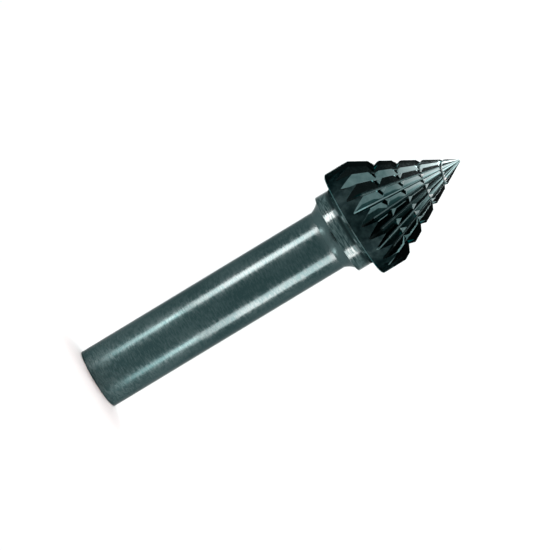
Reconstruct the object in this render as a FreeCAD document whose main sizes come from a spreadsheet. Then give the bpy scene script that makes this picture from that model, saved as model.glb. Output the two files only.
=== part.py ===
import FreeCAD, Part

import math
import os

import Sketcher

# Conical rotary burr, in millimetres and degrees.
# The axis is Z. The end face of the shank lies on Z = 0 with its centre at the origin, and the cone
# points up. The pieces follow each other along the axis, each placed by the lengths below it.

V = FreeCAD.Vector
doc = FreeCAD.newDocument("conical_burr")
sheet = doc.addObject("Spreadsheet::Sheet", "Sizes")

SIZES = [
    ("shank_diameter", 6.0, "ground cylinder that the collet grips"),
    ("shank_break", 0.08, "edge break round the end face of the shank"),
    ("shank_straight", 25.55, "end face to the start of the neck flare"),
    ("flare_length", 1.02, "start of the flare to the back of the collar"),
    ("flare_diameter", 7.42, "flare where it meets the back of the collar"),
    ("flare_hollow", 2.2, "radius of the hollow face of the flare"),
    ("collar_diameter", 8.0, "collar behind the head"),
    ("collar_length", 1.72, "back of the collar to the braze"),
    ("collar_break", 0.05, "edge break at the back of the collar"),
    ("braze_gap", 0.1, "thickness of the braze between collar and head"),
    ("braze_reach", 0.42, "how far the braze fillet climbs the collar and the head"),
    ("braze_hollow", 0.52, "radius of the hollow face of the braze fillet"),
    ("head_diameter", 10.8, "plain cylinder at the back of the head"),
    ("land_length", 2.56, "length of that cylinder, from the back face to the shoulder"),
    ("heel_break", 0.12, "edge break at the back of the head"),
    ("cone_angle", 60.0, "included angle of the cone"),
    ("tip_diameter", 0.25, "flat on the tip"),
    ("teeth", 24, "number of flutes"),
    ("first_edge", 10.0, "direction of the first cutting edge about the axis"),
    ("flute_depth", 0.89, "cutting edge to the corner of the root, at the shoulder"),
    ("root_ease", 0.18, "corner of the root to the ends of its easing, at the shoulder"),
    ("root_rise", 0.1, "corner of the root to the middle of its easing, at the shoulder"),
    ("rake_span", 3.0, "corner of the root to the cutting edge, about the axis"),
    ("crest_span", 0.5, "flat behind the cutting edge, about the axis"),
    ("breaker_pitch", 1.925, "axial pitch of the chip-breaker groove"),
    ("breaker_start", 0.52, "shoulder to the start of the groove"),
    ("breaker_stop", 0.8, "end of the groove to the flat on the tip"),
    ("breaker_depth", 0.56, "radial depth of the groove at its start"),
    ("breaker_end_depth", 0.2, "radial depth of the groove at its end"),
    ("breaker_front", 16.0, "flank of the groove nearer the tip, to the axis"),
    ("breaker_vee", 100.0, "included angle of the groove"),
    ("cutter_margin", 0.15, "how far the cutting profiles stand clear of the blank"),
]


def fill_sheet():
    """A row for each size: its name, its value under that name as alias, and what it measures."""
    for row, (name, value, meaning) in enumerate(SIZES, start=1):
        sheet.set(f"A{row}", name)
        sheet.set(f"B{row}", str(value))
        sheet.setAlias(f"B{row}", name)
        sheet.set(f"C{row}", meaning)
    doc.recompute()


class Term:
    """A length or an angle: its value now, and the sheet expression that keeps it up to date."""

    def __init__(self, value, text):
        self.value = value
        self.text = text

    def __add__(self, other):
        return Term(self.value + term(other).value, f"({self.text} + {term(other).text})")

    def __sub__(self, other):
        return Term(self.value - term(other).value, f"({self.text} - {term(other).text})")

    def __mul__(self, other):
        return Term(self.value * term(other).value, f"({self.text} * {term(other).text})")

    def __truediv__(self, other):
        return Term(self.value / term(other).value, f"({self.text} / {term(other).text})")


def term(number):
    """A plain number as a term."""
    return number if isinstance(number, Term) else Term(float(number), str(number))


def cell(name):
    """A cell of the sheet as a term."""
    return Term(float(getattr(sheet, name)), f"Sizes.{name}")


def tangent(angle):
    return Term(math.tan(math.radians(angle.value)), f"tan({angle.text})")


def cosine(angle):
    return Term(math.cos(math.radians(angle.value)), f"cos({angle.text})")


def arctangent(ratio):
    return Term(math.degrees(math.atan(ratio.value)), f"atan({ratio.text})")


def bind(thing, field, value):
    """Ties a property or a dimension of an object to the sheet."""
    thing.setExpression(field, value.text)


# Sketches

START, END, CENTRE = range(1, 4)
CENTRE_POINT = (-1, 1)
ACROSS_AXIS = -1
ALONG_AXIS = -2


def origin_part(body, role):
    """One plane or axis of the body's own origin."""
    return next(feature for feature in body.Origin.OriginFeatures if feature.Role == role)


def new_sketch(body, name, plane, lift=None):
    """An empty sketch on one of the body's own origin planes, or lifted off it."""
    sketch = body.newObject("Sketcher::SketchObject", name)
    sketch.AttachmentSupport = [(origin_part(body, plane), "")]
    sketch.MapMode = "FlatFace"
    if lift:
        bind(sketch, "AttachmentOffset.Base.z", lift)
    return sketch


def add_dimension(sketch, name, kind, where, value):
    """A named dimension, bound to the sheet. Angles are handed over in radians."""
    number = math.radians(value.value) if kind == "Angle" else value.value
    index = sketch.addConstraint(Sketcher.Constraint(kind, *where, number))
    sketch.renameConstraint(index, name)
    bind(sketch, f"Constraints.{name}", value)


def add_line(sketch, begin, finish, helper=False):
    return sketch.addGeometry(Part.LineSegment(V(*begin, 0), V(*finish, 0)), helper)


def join(sketch, *ends):
    """Makes the ends of two lines or arcs one point. An end is a line's number and START or END."""
    (first, first_end), (second, second_end) = ends
    sketch.addConstraint(Sketcher.Constraint("Coincident", first, first_end, second, second_end))


def on_curve(sketch, end, curve):
    sketch.addConstraint(Sketcher.Constraint("PointOnObject", *end, curve))


def add_half_profile(sketch, corners, hollows):
    """Closed outline of a turned piece, on one side of its axis.

    Each corner is a name, a radius and a height, and None puts the corner on that axis. hollows
    gives the radius of the concave arc that follows a corner. Such an arc runs the other way round,
    so its END is the corner that it follows.
    """
    points = [V(r.value if r else 0, z.value if z else 0, 0) for _, r, z in corners]
    begins = []
    for index, (name, _, _) in enumerate(corners):
        begin = points[index]
        finish = points[(index + 1) % len(points)]
        if name in hollows:
            chord = finish - begin
            half = chord.Length / 2
            radius = hollows[name].value
            sag = radius - math.sqrt(radius ** 2 - half ** 2)
            inward = V(-chord.y, chord.x, 0).normalize()
            sketch.addGeometry(Part.Arc(finish, (begin + finish) * 0.5 + inward * sag, begin), False)
            begins.append(END)
        else:
            sketch.addGeometry(Part.LineSegment(begin, finish), False)
            begins.append(START)
    for index, begin in enumerate(begins):
        follower = (index + 1) % len(begins)
        finish = END if begin == START else START
        join(sketch, (index, finish), (follower, begins[follower]))
    for index, (name, radius, height) in enumerate(corners):
        corner = (index, begins[index])
        if radius:
            add_dimension(sketch, f"{name}_radius", "DistanceX", (*CENTRE_POINT, *corner), radius)
        else:
            on_curve(sketch, corner, ALONG_AXIS)
        if height:
            add_dimension(sketch, f"{name}_height", "DistanceY", (*CENTRE_POINT, *corner), height)
        else:
            on_curve(sketch, corner, ACROSS_AXIS)
        if name in hollows:
            add_dimension(sketch, f"{name}_hollow", "Radius", (index,), hollows[name])


# Features

def new_body(name, height=None):
    """An empty body, at its height on the axis."""
    body = doc.addObject("PartDesign::Body", name)
    body.Label = name
    if height:
        bind(body, "Placement.Base.z", height)
    return body


def turn(body, name, corners, hollows=None):
    """Turns a half profile about the body's axis."""
    sketch = new_sketch(body, f"{name}_profile", "XZ_Plane")
    add_half_profile(sketch, corners, hollows or {})
    feature = body.newObject("PartDesign::Revolution", name)
    feature.Profile = sketch
    feature.ReferenceAxis = (sketch, ["V_Axis"])
    feature.Angle = 360
    doc.recompute()
    return feature


fill_sheet()

shank_radius = cell("shank_diameter") / 2
collar_radius = cell("collar_diameter") / 2
head_radius = cell("head_diameter") / 2
tip_radius = cell("tip_diameter") / 2
collar_back = cell("shank_straight") + cell("flare_length")
collar_front = collar_back + cell("collar_length")
head_back = collar_front + cell("braze_gap")
half_angle = cell("cone_angle") / 2
cone_slope = tangent(half_angle)
shoulder = cell("land_length")
apex = shoulder + head_radius / cone_slope
tip = apex - tip_radius / cone_slope


def make_shank():
    """One turned piece: ground shank, hollow neck flare and collar."""
    body = new_body("shank")
    shank_break = cell("shank_break")
    collar_break = cell("collar_break")
    corners = [
        ("centre", None, None),
        ("end_face", shank_radius - shank_break, None),
        ("end_edge", shank_radius, shank_break),
        ("neck", shank_radius, cell("shank_straight")),
        ("flare_top", cell("flare_diameter") / 2, collar_back),
        ("collar_face", collar_radius - collar_break, collar_back),
        ("collar_edge", collar_radius, collar_back + collar_break),
        ("collar_front", collar_radius, collar_front),
        ("seat", None, collar_front),
    ]
    turn(body, "turned_shank", corners, {"neck": cell("flare_hollow")})
    return body


def make_braze_joint():
    """The layer of braze on the collar's front face, with its fillet round the collar.

    Its own zero height is where the fillet starts on the side of the collar.
    """
    climb = cell("braze_reach") - cell("braze_gap")
    body = new_body("braze_joint", collar_front - climb)
    corners = [
        ("seat", None, climb),
        ("seat_edge", collar_radius, climb),
        ("fillet_foot", collar_radius, None),
        ("fillet_top", collar_radius + cell("braze_reach"), cell("braze_reach")),
        ("head_side", None, cell("braze_reach")),
    ]
    turn(body, "braze_layer", corners, {"fillet_foot": cell("braze_hollow")})
    return body


def cut_chip_breaker(body):
    """Helical vee groove round the cone. It climbs to the tip and turns left, and gets shallower."""
    start = shoulder + cell("breaker_start")
    rise = tip - cell("breaker_stop") - start
    bottom = (apex - start) * cone_slope - cell("breaker_depth")
    end_bottom = tip_radius + cell("breaker_stop") * cone_slope - cell("breaker_end_depth")
    front = Term(90.0, "90") - cell("breaker_front")
    back = front - cell("breaker_vee") + 180
    clearance = cell("breaker_depth") * cosine(half_angle) + cell("cutter_margin")

    sketch = new_sketch(body, "breaker_profile", "YZ_Plane")
    corner = V(bottom.value, start.value, 0)
    front_way = V(math.cos(math.radians(front.value)), math.sin(math.radians(front.value)), 0)
    back_way = V(math.cos(math.radians(back.value)), math.sin(math.radians(back.value)), 0)
    front_tip = corner + front_way
    back_tip = corner - back_way
    front_line = add_line(sketch, corner[:2], front_tip[:2])
    cover_line = add_line(sketch, back_tip[:2], front_tip[:2])
    back_line = add_line(sketch, back_tip[:2], corner[:2])
    join(sketch, (front_line, START), (back_line, END))
    join(sketch, (front_line, END), (cover_line, END))
    join(sketch, (back_line, START), (cover_line, START))
    vee_corner = (front_line, START)
    add_dimension(sketch, "bottom_radius", "DistanceX", (*CENTRE_POINT, *vee_corner), bottom)
    add_dimension(sketch, "bottom_height", "DistanceY", (*CENTRE_POINT, *vee_corner), start)
    add_dimension(sketch, "front_flank", "Angle", (front_line,), front)
    add_dimension(sketch, "back_flank", "Angle", (back_line,), back)
    add_dimension(sketch, "cover", "Angle", (cover_line,), half_angle + 90)
    add_dimension(sketch, "clearance", "Distance", (*vee_corner, cover_line), clearance)

    groove = body.newObject("PartDesign::SubtractiveHelix", "chip_breaker")
    groove.Profile = sketch
    groove.ReferenceAxis = (origin_part(body, "Z_Axis"), [""])
    groove.Mode = "pitch-height-angle"
    groove.LeftHanded = True
    bind(groove, "Pitch", cell("breaker_pitch"))
    bind(groove, "Height", rise)
    bind(groove, "Angle", arctangent((end_bottom - bottom) / rise))
    doc.recompute()
    return groove


def cut_flutes(body):
    """Straight saw-shaped flutes that all aim at the apex of the cone.

    One flute is drawn on the back face of the head, at the size that shrinks to the stated size at
    the shoulder and to nothing at the apex. Its root leaves the plain cylinder part way back, so each
    flute ends there in a point.
    """
    growth = apex / (apex - shoulder)
    edge_radius = head_radius * growth
    root_radius = (head_radius - cell("flute_depth")) * growth
    outer_radius = edge_radius + cell("cutter_margin") * growth
    pitch = Term(360.0, "360") / cell("teeth")
    heel_way = cell("first_edge") + cell("crest_span")
    edge_way = cell("first_edge") + pitch
    root_way = edge_way - cell("rake_span")
    ease = cell("root_ease") * growth
    rise = cell("root_rise") * growth

    def polar(radius, way):
        return V(math.cos(math.radians(way)), math.sin(math.radians(way)), 0) * radius

    heel = polar(edge_radius.value, heel_way.value)
    root = polar(root_radius.value, root_way.value)
    edge = polar(edge_radius.value, edge_way.value)
    flank = (heel - root).normalize()
    rake = (edge - root).normalize()
    bisector = (flank + rake).normalize()
    spare = 2 * cell("cutter_margin").value
    flank_top = heel + flank * spare
    flank_foot = root + flank * ease.value
    root_bed = root + bisector * rise.value
    rake_foot = root + rake * ease.value
    rake_top = edge + rake * spare

    sketch = new_sketch(body, "flute_profile", "XY_Plane")
    corners = [flank_top, flank_foot, root_bed, rake_foot, rake_top]
    for index, corner in enumerate(corners):
        follower = corners[(index + 1) % len(corners)]
        add_line(sketch, corner[:2], follower[:2])
    flank_line, flank_bed, rake_bed, rake_line, cover_line = range(5)
    for line in range(5):
        join(sketch, (line, END), ((line + 1) % 5, START))

    heel_arm = add_line(sketch, (0, 0), heel[:2], helper=True)
    root_arm = add_line(sketch, (0, 0), root[:2], helper=True)
    edge_arm = add_line(sketch, (0, 0), edge[:2], helper=True)
    rise_arm = add_line(sketch, root[:2], root_bed[:2], helper=True)
    arms = [
        ("heel", heel_arm, edge_radius, heel_way),
        ("root", root_arm, root_radius, root_way),
        ("edge", edge_arm, edge_radius, edge_way),
    ]
    for name, arm, reach, way in arms:
        sketch.addConstraint(Sketcher.Constraint("Coincident", arm, START, *CENTRE_POINT))
        add_dimension(sketch, f"{name}_radius", "Distance", (arm,), reach)
        add_dimension(sketch, f"{name}_way", "Angle", (arm,), way)
    outer_circle = sketch.addGeometry(Part.Circle(V(), V(0, 0, 1), outer_radius.value), True)
    sketch.addConstraint(Sketcher.Constraint("Coincident", outer_circle, CENTRE, *CENTRE_POINT))
    add_dimension(sketch, "outer_radius", "Radius", (outer_circle,), outer_radius)

    on_curve(sketch, (heel_arm, END), flank_line)
    on_curve(sketch, (root_arm, END), flank_line)
    on_curve(sketch, (edge_arm, END), rake_line)
    on_curve(sketch, (root_arm, END), rake_line)
    on_curve(sketch, (flank_line, START), outer_circle)
    on_curve(sketch, (rake_line, END), outer_circle)
    join(sketch, (rise_arm, START), (root_arm, END))
    join(sketch, (rise_arm, END), (flank_bed, END))
    root_corner = (root_arm, END)
    add_dimension(sketch, "flank_ease", "Distance", (*root_corner, flank_line, END), ease)
    add_dimension(sketch, "rake_ease", "Distance", (*root_corner, rake_line, START), ease)
    add_dimension(sketch, "rise", "Distance", (rise_arm,), rise)
    sketch.addConstraint(Sketcher.Constraint("Equal", flank_bed, rake_bed))

    point = new_sketch(body, "flute_apex", "XY_Plane", apex)
    point.addGeometry(Part.Point(V()), False)
    point.addConstraint(Sketcher.Constraint("Coincident", 0, START, *CENTRE_POINT))

    flute = body.newObject("PartDesign::SubtractiveLoft", "flute")
    flute.Profile = sketch
    flute.Sections = [point]
    flute.Ruled = True
    doc.recompute()

    flutes = body.newObject("PartDesign::PolarPattern", "flutes")
    flutes.Originals = [flute]
    flutes.Axis = (origin_part(body, "Z_Axis"), [""])
    flutes.Angle = 360
    bind(flutes, "Occurrences", cell("teeth"))
    body.Tip = flutes
    doc.recompute()
    return flutes


def make_cutting_head():
    """One ground piece: cylinder and cone, then the chip-breaker groove, then the flutes."""
    body = new_body("cutting_head", head_back)
    heel_break = cell("heel_break")
    corners = [
        ("back", None, None),
        ("heel_face", head_radius - heel_break, None),
        ("heel_edge", head_radius, heel_break),
        ("shoulder", head_radius, shoulder),
        ("tip_edge", tip_radius, tip),
        ("tip", None, tip),
    ]
    turn(body, "blank", corners)
    cut_chip_breaker(body)
    cut_flutes(body)
    return body


def check_and_write(bodies):
    """Stops if a feature failed or removed nothing, then writes one file a piece."""
    doc.recompute()
    for feature in doc.Objects:
        if "Invalid" in feature.State or "Error" in feature.State:
            raise RuntimeError(f"{feature.Name} failed: {feature.State}")
    blank = doc.getObject("blank").Shape.Volume
    grooved = doc.getObject("chip_breaker").Shape.Volume
    fluted = doc.getObject("flutes").Shape.Volume
    if not blank > grooved > fluted:
        raise RuntimeError("a cut in the head removed nothing")
    os.makedirs("parts", exist_ok=True)
    for body in bodies:
        shape = body.Shape
        if shape.isNull() or not shape.isValid() or len(shape.Solids) != 1:
            raise RuntimeError(f"{body.Label} is not one valid solid")
    for body in bodies:
        body.Shape.exportStep(f"parts/{body.Label}.step")
        box = body.Shape.BoundBox
        print(f"{body.Label}: {body.Shape.Volume:.3f} mm3, Z {box.ZMin:.3f} to {box.ZMax:.3f}")


check_and_write([make_shank(), make_braze_joint(), make_cutting_head()])
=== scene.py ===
import math

import bpy
from mathutils import Matrix, Vector


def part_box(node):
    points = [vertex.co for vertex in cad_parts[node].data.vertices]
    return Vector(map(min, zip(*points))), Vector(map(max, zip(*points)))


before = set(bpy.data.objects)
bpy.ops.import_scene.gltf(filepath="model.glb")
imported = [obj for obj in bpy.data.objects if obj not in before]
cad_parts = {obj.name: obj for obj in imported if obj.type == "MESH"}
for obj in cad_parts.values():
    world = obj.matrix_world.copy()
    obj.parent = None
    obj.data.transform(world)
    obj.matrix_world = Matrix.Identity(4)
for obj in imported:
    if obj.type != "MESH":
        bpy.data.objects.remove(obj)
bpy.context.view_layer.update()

# Looks of the conical rotary burr, in metres, round the three pieces of the frame.
# The burr stands on the end of its shank, on z = 0, and points up. It is seen from -Y through a long
# lens that is rolled, so that it lies across the picture with its tip at the upper right.

MM = 0.001

# Lengths of the stretches with a colour or finish of their own, and those over which it turns into the
# next. The pale tip is a painted highlight
COLLAR_LENGTH = 1.72 * MM
COLLAR_FADE = 0.1 * MM
# The neck's paler tone is partly painted light
NECK_LENGTH = 1.72 * MM
NECK_FADE = 0.6 * MM
FRONT_BAND_LENGTH = 0.84 * MM
FRONT_BAND_FADE = 0.4 * MM
LAND_LENGTH = 2.56 * MM
LAND_FADE = 0.02 * MM
# The head's pale tip is a painted highlight
TIP_HIGHLIGHT_LENGTH = 6.5 * MM
TIP_HIGHLIGHT_FADE = 6 * MM

# Heights where those stretches start. The shank is worn rougher towards its foot
WEAR_START = 9 * MM
WEAR_END = 1 * MM
COLLAR_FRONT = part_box("shank")[1].z
COLLAR_BACK = COLLAR_FRONT - COLLAR_LENGTH
NECK_START = COLLAR_BACK - NECK_LENGTH
FRONT_BAND_START = COLLAR_FRONT - FRONT_BAND_LENGTH
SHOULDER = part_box("cutting_head")[0].z + LAND_LENGTH
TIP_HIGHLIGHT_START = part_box("cutting_head")[1].z - TIP_HIGHLIGHT_LENGTH

# The cone of the head and its flutes. A depth there is a share of the cone's radius at that height
HEAD_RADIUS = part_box("cutting_head")[1].x
RADIUS_SLACK = 0.03 * MM
RADIUS_FADE = 0.015 * MM
HALF_CONE_ANGLE = math.radians(30)
CONE_SLOPE = math.tan(HALF_CONE_ANGLE)
APEX = SHOULDER + HEAD_RADIUS / CONE_SLOPE
FLUTE_SHARE = 0.165
# Depths of the flutes' roots, which get a painted highlight and more roughness
ROOT_START = 0.7 * FLUTE_SHARE
ROOT_END = 0.9 * FLUTE_SHARE

# Camera
PICTURE_WIDTH = 51.9 * MM
PICTURE_CENTRE = Vector((0.25 * MM, 0, 19.55 * MM))
CAMERA_DISTANCE = 0.6
CAMERA_NEAREST = 0.01
SENSOR_WIDTH = 36.0
TIP_TOWARDS_CAMERA = math.radians(5.75)
AXIS_IN_PICTURE = math.radians(31.18)

# Surroundings. The room has pairs of a direction's height, from 0 level to 1 straight up, and its light
ROOM_LIGHT = ((0.06, 1.0), (0.13, 0.012), (0.42, 0.012), (0.62, 0.06))
FLOOR_REACH = 12.0
FLOOR_PAINT = (0.93, 0.93, 0.93)
FLOOR_ROUGH = 0.9
WARM = (1.0, 0.64, 0.62)
PALE_WARM = (1.0, 0.83, 0.81)
SOFT = (0.97, 1.0, 1.0)
COOL = (0.96, 1.0, 1.0)

# Colours of the metals, which are bluish green and dark
STEEL_DARK = (0.024, 0.051, 0.053)
STEEL_PALE = (0.048, 0.082, 0.084)
STEEL_EDGE = (0.58, 0.60, 0.60)
# A darker band at the front of the collar, next to the braze
STEEL_FRONT_BAND = (0.011, 0.022, 0.023)
# Paler tone of the neck, painted light under its real turning rings
NECK_PALE_PAINTED_LIGHT = (0.048, 0.080, 0.082)
COLLAR_DARK = (0.015, 0.035, 0.036)
COLLAR_PALE = (0.088, 0.136, 0.137)
BRAZE_DARK = (0.016, 0.034, 0.035)
BRAZE_PALE = (0.095, 0.145, 0.146)
CARBIDE_LAND = (0.004, 0.011, 0.012)
CARBIDE_SPOT = (0.013, 0.029, 0.030)
CARBIDE_FLUTE = (0.060, 0.108, 0.110)
CARBIDE_PALE = (0.094, 0.150, 0.151)
# Painted highlight at the tip of the head
CARBIDE_TIP_PAINTED_HIGHLIGHT = (0.680, 0.780, 0.780)
# Paler roots of the flutes, a painted highlight
CARBIDE_ROOT_PAINTED_HIGHLIGHT = (0.130, 0.190, 0.192)
CARBIDE_EDGE = (0.18, 0.26, 0.26)

# Width round the axis and length along it of the spots of each noise
GROUND_MARKS = (0.5 * MM, 0.14 * MM)
TURNED_MARKS = (0.8 * MM, 0.12 * MM)
SHANK_CLOUDS = (2.2 * MM, 5 * MM)
BRAZE_SPOTS = (0.9 * MM, 0.4 * MM)
CARBIDE_SPOTS = (0.5 * MM, 0.5 * MM)
FLUTE_MARKS = (0.09 * MM, 1.6 * MM)

# Parts of the range of a noise over which one colour or roughness turns into another
MOST_OF_NOISE = (0.3, 0.7)
MIDDLE_OF_NOISE = (0.35, 0.65)
MIDDLE_OF_TWO_NOISES = (0.8, 1.2)
TOP_OF_LAND_NOISE = (0.4, 0.7)
TOP_OF_BRAZE_NOISE = (0.52, 0.7)

# Roughness, and how much the marks add to it or take from it
STEEL_SHEEN_STRETCH = 0.6
SHANK_ROUGH = 0.17
SHANK_END_ROUGH = 0.26
STEEL_UNEVEN = (-0.04, 0.06)
NECK_ROUGHER = 0.05
COLLAR_SMOOTHER = 0.04
BRAZE_ROUGH = (0.6, 0.35)
FLUTE_ROUGH = (0.05, 0.10)
ROOT_ROUGH = 0.35
LAND_ROUGH = (0.42, 0.5)

# Depth of the marks, with the share of it that the ground shank and its turned end have
STEEL_MARK_DEPTH = 0.003 * MM
GROUND_SHARE = 0.6
TURNED_SHARE = 0.5
BRAZE_SPOT_DEPTH = 0.02 * MM
FLUTE_MARK_DEPTH = 0.001 * MM


# Camera, floor and light

def add_camera():
    """A long lens at the photograph's angle: the axis climbs to the right and leans to the camera."""
    lean = TIP_TOWARDS_CAMERA
    roll = AXIS_IN_PICTURE
    across = Vector((1, 0, 0))
    along = Vector((0, math.sin(lean), math.cos(lean)))
    towards = Vector((0, -math.cos(lean), math.sin(lean)))
    right = along * math.cos(roll) + across * math.sin(roll)
    up = along * math.sin(roll) - across * math.cos(roll)
    turned = Matrix((right, up, towards)).transposed().to_4x4()
    camera = bpy.data.objects.new("camera", bpy.data.cameras.new("camera"))
    camera.data.sensor_width = SENSOR_WIDTH
    camera.data.lens = SENSOR_WIDTH * CAMERA_DISTANCE / PICTURE_WIDTH
    camera.data.clip_start = CAMERA_NEAREST
    camera.matrix_world = Matrix.Translation(PICTURE_CENTRE + towards * CAMERA_DISTANCE) @ turned
    bpy.context.scene.collection.objects.link(camera)
    bpy.context.scene.camera = camera


def add_node(tree, kind, inputs=None, **settings):
    """A node with its settings. An input is a value, or the output of another node."""
    node = tree.nodes.new(kind)
    for name, value in settings.items():
        setattr(node, name, value)
    for name, value in (inputs or {}).items():
        if isinstance(value, bpy.types.NodeSocket):
            tree.links.new(value, node.inputs[name])
        else:
            node.inputs[name].default_value = value
    return node


def add_world():
    """A dark room whose walls are white up to just above the horizon."""
    world = bpy.data.worlds.new("studio")
    world.use_nodes = True
    tree = world.node_tree
    way = add_node(tree, "ShaderNodeTexCoord").outputs["Generated"]
    height = add_node(tree, "ShaderNodeSeparateXYZ", {0: way}).outputs["Z"]
    ramp = add_node(tree, "ShaderNodeValToRGB", {"Fac": height})
    stops = ramp.color_ramp.elements
    while len(stops) < len(ROOM_LIGHT):
        stops.new(1.0)
    for stop, (place, level) in zip(stops, ROOM_LIGHT):
        stop.position = place
        stop.color = (level, level, level, 1)
    tree.links.new(ramp.outputs["Color"], tree.nodes["Background"].inputs["Color"])
    bpy.context.scene.world = world


def add_floor():
    """A wide pale floor, which the burr stands on."""
    mesh = bpy.data.meshes.new("floor")
    low = -FLOOR_REACH
    high = FLOOR_REACH
    mesh.from_pydata([(low, low, 0), (high, low, 0), (high, high, 0), (low, high, 0)], [], [(0, 1, 2, 3)])
    floor = bpy.data.objects.new("floor", mesh)
    bpy.context.scene.collection.objects.link(floor)
    material = bpy.data.materials.new("floor_paint")
    material.use_nodes = True
    shader = material.node_tree.nodes["Principled BSDF"]
    shader.inputs["Base Color"].default_value = (*FLOOR_PAINT, 1)
    shader.inputs["Roughness"].default_value = FLOOR_ROUGH
    shader.inputs["Specular IOR Level"].default_value = 0.0
    mesh.materials.append(material)


def add_lamp(name, way, distance, width, height, radiance, colour):
    """A rectangular lamp at that distance from the origin, which faces back along its way."""
    light = bpy.data.lights.new(name, "AREA")
    light.shape = "RECTANGLE"
    light.size = width
    light.size_y = height
    light.energy = radiance * width * height * math.pi
    light.color = colour
    lamp = bpy.data.objects.new(name, light)
    lamp.location = way * distance
    lamp.rotation_euler = way.to_track_quat("Z", "Y").to_euler()
    lamp.visible_camera = False
    bpy.context.scene.collection.objects.link(lamp)
    return lamp


def seen_at(angle, distance):
    """The width of a thing at that distance which takes up an angle in degrees."""
    return 2 * distance * math.tan(math.radians(angle) / 2)


def add_soft_box(name, azimuth, elevation, wide, tall, radiance, colour, distance=0.5):
    """A lamp that faces the middle of the burr. Its place and its size are angles seen from there.

    The azimuth is counted from the camera, to the right hand of someone who stands there.
    """
    turn = math.radians(azimuth)
    rise = math.radians(elevation)
    way = Vector((math.sin(turn) * math.cos(rise), -math.cos(turn) * math.cos(rise), math.sin(rise)))
    width = seen_at(wide, distance)
    lamp = add_lamp(name, way, distance, width, seen_at(tall, distance), radiance, colour)
    lamp.location += PICTURE_CENTRE


def add_strip(name, azimuth, wide, bottom, top, radiance, colour, distance):
    """An upright lamp beside the burr, between two heights above the floor. It gives one long highlight."""
    turn = math.radians(azimuth)
    way = Vector((math.sin(turn), -math.cos(turn), 0))
    lamp = add_lamp(name, way, distance, seen_at(wide, distance), top - bottom, radiance, colour)
    lamp.location.z = (bottom + top) / 2


def add_lamps():
    """A large lamp above and behind, two strips a side for the shank, and what the head mirrors.

    The camera looks down a little, so the foot of the shank mirrors only what stands near and low.
    That is what the low strips are for.
    """
    add_soft_box("overhead", azimuth=180, elevation=60, wide=70, tall=36,
                 radiance=5.2, colour=COOL, distance=2.5)
    add_strip("strip_left", azimuth=-53, wide=20, bottom=0.3 * MM, top=20 * MM,
              radiance=23, colour=WARM, distance=0.1)
    add_strip("strip_right", azimuth=64, wide=28, bottom=0.3 * MM, top=20 * MM,
              radiance=18, colour=WARM, distance=0.1)
    add_strip("low_strip_left", azimuth=-48, wide=11, bottom=0.2 * MM, top=8.4 * MM,
              radiance=12, colour=PALE_WARM, distance=0.02)
    add_strip("low_strip_right", azimuth=57, wide=14, bottom=0.2 * MM, top=8.4 * MM,
              radiance=10, colour=PALE_WARM, distance=0.02)
    add_soft_box("panel_front", azimuth=-9, elevation=43, wide=42, tall=14, radiance=1.15, colour=SOFT)
    add_soft_box("panel_side", azimuth=74, elevation=27, wide=44, tall=20, radiance=1.1, colour=SOFT)
    add_soft_box("tip_lamp", azimuth=-8, elevation=57, wide=40, tall=15,
                 radiance=1.9, colour=SOFT, distance=0.077)
    add_soft_box("edge_lamp", azimuth=-41, elevation=9, wide=10, tall=8, radiance=2.4, colour=SOFT)


# Materials

def new_metal(name, edge_tint, stretch=0.0):
    """A bare metal, with its node tree and its shader. The stretch draws its sheen out round the axis."""
    material = bpy.data.materials.new(name)
    material.use_nodes = True
    tree = material.node_tree
    shader = tree.nodes["Principled BSDF"]
    shader.inputs["Metallic"].default_value = 1
    shader.inputs["Anisotropic"].default_value = stretch
    shader.inputs["Specular Tint"].default_value = (*edge_tint, 1)
    tangent = add_node(tree, "ShaderNodeTangent", direction_type="RADIAL", axis="Z")
    tree.links.new(tangent.outputs["Tangent"], shader.inputs["Tangent"])
    return material, tree, shader


def add_place(tree):
    """The place on the object, its height, and its distance from the axis."""
    place = add_node(tree, "ShaderNodeTexCoord").outputs["Object"]
    parts = add_node(tree, "ShaderNodeSeparateXYZ", {0: place})
    flat = add_node(tree, "ShaderNodeCombineXYZ", {"X": parts.outputs["X"], "Y": parts.outputs["Y"]})
    radius = add_node(tree, "ShaderNodeVectorMath", {0: flat.outputs[0]}, operation="LENGTH")
    return place, parts.outputs["Z"], radius.outputs["Value"]


def add_grain(tree, place, spots, detail=2.0, shift=0.0):
    """Noise from 0 to 1 with spots of that width round the axis and that length along it.

    A shift keeps it from matching another noise at the same place.
    """
    around, along = spots
    scale = (1 / around, 1 / around, 1 / along)
    spread = add_node(tree, "ShaderNodeVectorMath", {0: place, 1: scale}, operation="MULTIPLY")
    moved = add_node(tree, "ShaderNodeVectorMath", {0: spread.outputs[0], 1: (shift, shift, shift)})
    noise = add_node(tree, "ShaderNodeTexNoise", {"Vector": moved.outputs[0], "Scale": 1, "Detail": detail})
    return noise.outputs["Fac"]


def add_ramp(tree, value, low, high, start=0.0, end=1.0, smooth=False):
    """Maps a value between low and high to start and end, and holds it there outside them."""
    kind = "SMOOTHSTEP" if smooth else "LINEAR"
    inputs = {"Value": value, "From Min": low, "From Max": high, "To Min": start, "To Max": end}
    return add_node(tree, "ShaderNodeMapRange", inputs, interpolation_type=kind).outputs["Result"]


def add_math(tree, operation, first, second):
    """The sum, product or the like of two numbers."""
    return add_node(tree, "ShaderNodeMath", {0: first, 1: second}, operation=operation).outputs[0]


def add_mix(tree, share, first, second):
    """One colour that turns into another as the share goes from 0 to 1."""
    node = add_node(tree, "ShaderNodeMix", {"Factor": share}, data_type="RGBA")
    for socket, colour in ((node.inputs["A"], first), (node.inputs["B"], second)):
        if isinstance(colour, bpy.types.NodeSocket):
            tree.links.new(colour, socket)
        else:
            socket.default_value = (*colour, 1)
    return node.outputs["Result"]


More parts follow.
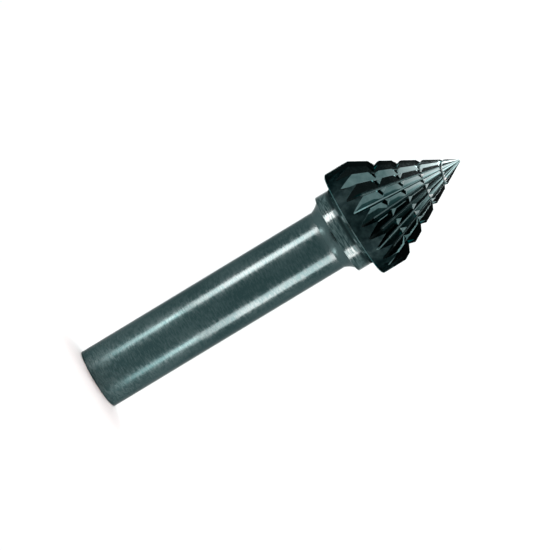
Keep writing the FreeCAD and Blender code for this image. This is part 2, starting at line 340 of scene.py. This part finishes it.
def add_blend(tree, share, first, second):
    """One number that turns into another as the share goes from 0 to 1."""
    return add_node(tree, "ShaderNodeMix", {"Factor": share, "A": first, "B": second}).outputs[0]


def add_bump(tree, shader, height, depth):
    """Lines or pits that deep, from a height between 0 and 1."""
    bump = add_node(tree, "ShaderNodeBump", {"Height": height, "Distance": depth, "Strength": 1.0})
    tree.links.new(bump.outputs["Normal"], shader.inputs["Normal"])


def make_steel():
    """Ground shank, turning marks on its neck and collar, a paler neck that is partly painted light, and a
    dark end next to the braze.
    """
    material, tree, shader = new_metal("steel", STEEL_EDGE, STEEL_SHEEN_STRETCH)
    place, height, _ = add_place(tree)
    turned = add_ramp(tree, height, NECK_START, NECK_START + NECK_FADE, smooth=True)
    on_collar = add_ramp(tree, height, COLLAR_BACK - COLLAR_FADE, COLLAR_BACK, smooth=True)
    front_band = add_ramp(tree, height, FRONT_BAND_START, FRONT_BAND_START + FRONT_BAND_FADE, smooth=True)
    ground = add_grain(tree, place, GROUND_MARKS)
    rings = add_grain(tree, place, TURNED_MARKS, shift=5)
    clouds = add_grain(tree, place, SHANK_CLOUDS, shift=9)
    marks = add_blend(tree, turned, ground, rings)

    cloudy = add_ramp(tree, add_math(tree, "ADD", marks, clouds), *MIDDLE_OF_TWO_NOISES)
    streaky = add_ramp(tree, marks, *MIDDLE_OF_NOISE)
    shank = add_mix(tree, cloudy, STEEL_DARK, STEEL_PALE)
    # The neck: turning rings on a paler tone that is painted light
    neck_rings_and_painted_light = add_mix(tree, streaky, STEEL_PALE, NECK_PALE_PAINTED_LIGHT)
    collar = add_mix(tree, streaky, COLLAR_DARK, COLLAR_PALE)
    colour = add_mix(tree, turned, shank, neck_rings_and_painted_light)
    colour = add_mix(tree, on_collar, colour, collar)
    # Darker band at the front of the collar, next to the braze
    colour = add_mix(tree, front_band, colour, STEEL_FRONT_BAND)
    tree.links.new(colour, shader.inputs["Base Color"])

    worn = add_ramp(tree, height, WEAR_START, WEAR_END, SHANK_ROUGH, SHANK_END_ROUGH)
    uneven = add_ramp(tree, marks, *MOST_OF_NOISE, *STEEL_UNEVEN)
    on_neck = add_math(tree, "SUBTRACT", turned, on_collar)
    rough = add_math(tree, "ADD", worn, uneven)
    rough = add_math(tree, "ADD", rough, add_math(tree, "MULTIPLY", on_neck, NECK_ROUGHER))
    rough = add_math(tree, "SUBTRACT", rough, add_math(tree, "MULTIPLY", on_collar, COLLAR_SMOOTHER))
    tree.links.new(rough, shader.inputs["Roughness"])

    cut = add_math(tree, "MULTIPLY", marks, add_blend(tree, turned, GROUND_SHARE, TURNED_SHARE))
    add_bump(tree, shader, cut, STEEL_MARK_DEPTH)
    return material


def make_braze():
    """Dull, uneven brazing metal: dark flux stains with pale patches."""
    material, tree, shader = new_metal("braze", BRAZE_DARK)
    place, _, _ = add_place(tree)
    spots = add_grain(tree, place, BRAZE_SPOTS, detail=3)
    colour = add_mix(tree, add_ramp(tree, spots, *TOP_OF_BRAZE_NOISE), BRAZE_DARK, BRAZE_PALE)
    tree.links.new(colour, shader.inputs["Base Color"])
    tree.links.new(add_ramp(tree, spots, *MOST_OF_NOISE, *BRAZE_ROUGH), shader.inputs["Roughness"])
    add_bump(tree, shader, spots, BRAZE_SPOT_DEPTH)
    return material


def make_carbide():
    """Ground carbide: a dark mottled cylinder, and bright flutes, with a painted highlight at the tip and
    in the roots.
    """
    material, tree, shader = new_metal("ground_carbide", CARBIDE_EDGE)
    place, height, radius = add_place(tree)
    outermost = HEAD_RADIUS - RADIUS_SLACK
    on_cylinder = add_ramp(tree, radius, outermost, outermost + RADIUS_FADE)
    behind_shoulder = add_ramp(tree, height, SHOULDER + LAND_FADE, SHOULDER)
    land = add_math(tree, "MULTIPLY", on_cylinder, behind_shoulder)
    painted_tip_highlight = add_ramp(tree, height, TIP_HIGHLIGHT_START, TIP_HIGHLIGHT_START + TIP_HIGHLIGHT_FADE)
    cone = add_math(tree, "MULTIPLY", add_math(tree, "SUBTRACT", APEX, height), CONE_SLOPE)
    crest = add_math(tree, "MINIMUM", cone, HEAD_RADIUS)
    depth = add_math(tree, "SUBTRACT", 1.0, add_math(tree, "DIVIDE", radius, crest))
    root = add_ramp(tree, depth, ROOT_START, ROOT_END)
    mottle = add_grain(tree, place, CARBIDE_SPOTS, detail=4)
    grind = add_grain(tree, place, FLUTE_MARKS, shift=3)

    flute = add_mix(tree, add_ramp(tree, mottle, *MOST_OF_NOISE), CARBIDE_FLUTE, CARBIDE_PALE)
    # Painted highlight towards the tip
    flute = add_mix(tree, painted_tip_highlight, flute, CARBIDE_TIP_PAINTED_HIGHLIGHT)
    # Painted highlight in the roots of the flutes
    flute = add_mix(tree, root, flute, CARBIDE_ROOT_PAINTED_HIGHLIGHT)
    skin = add_mix(tree, add_ramp(tree, mottle, *TOP_OF_LAND_NOISE), CARBIDE_LAND, CARBIDE_SPOT)
    tree.links.new(add_mix(tree, land, flute, skin), shader.inputs["Base Color"])

    smooth = add_ramp(tree, grind, *MOST_OF_NOISE, *FLUTE_ROUGH)
    smooth = add_blend(tree, root, smooth, ROOT_ROUGH)
    dull = add_ramp(tree, mottle, *MOST_OF_NOISE, *LAND_ROUGH)
    tree.links.new(add_blend(tree, land, smooth, dull), shader.inputs["Roughness"])
    add_bump(tree, shader, grind, FLUTE_MARK_DEPTH)
    return material


# The scene

add_camera()
add_world()
add_floor()
add_lamps()
bpy.context.scene.view_settings.view_transform = "Standard"

for node, make in (("shank", make_steel), ("braze_joint", make_braze), ("cutting_head", make_carbide)):
    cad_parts[node].data.materials[0] = make()
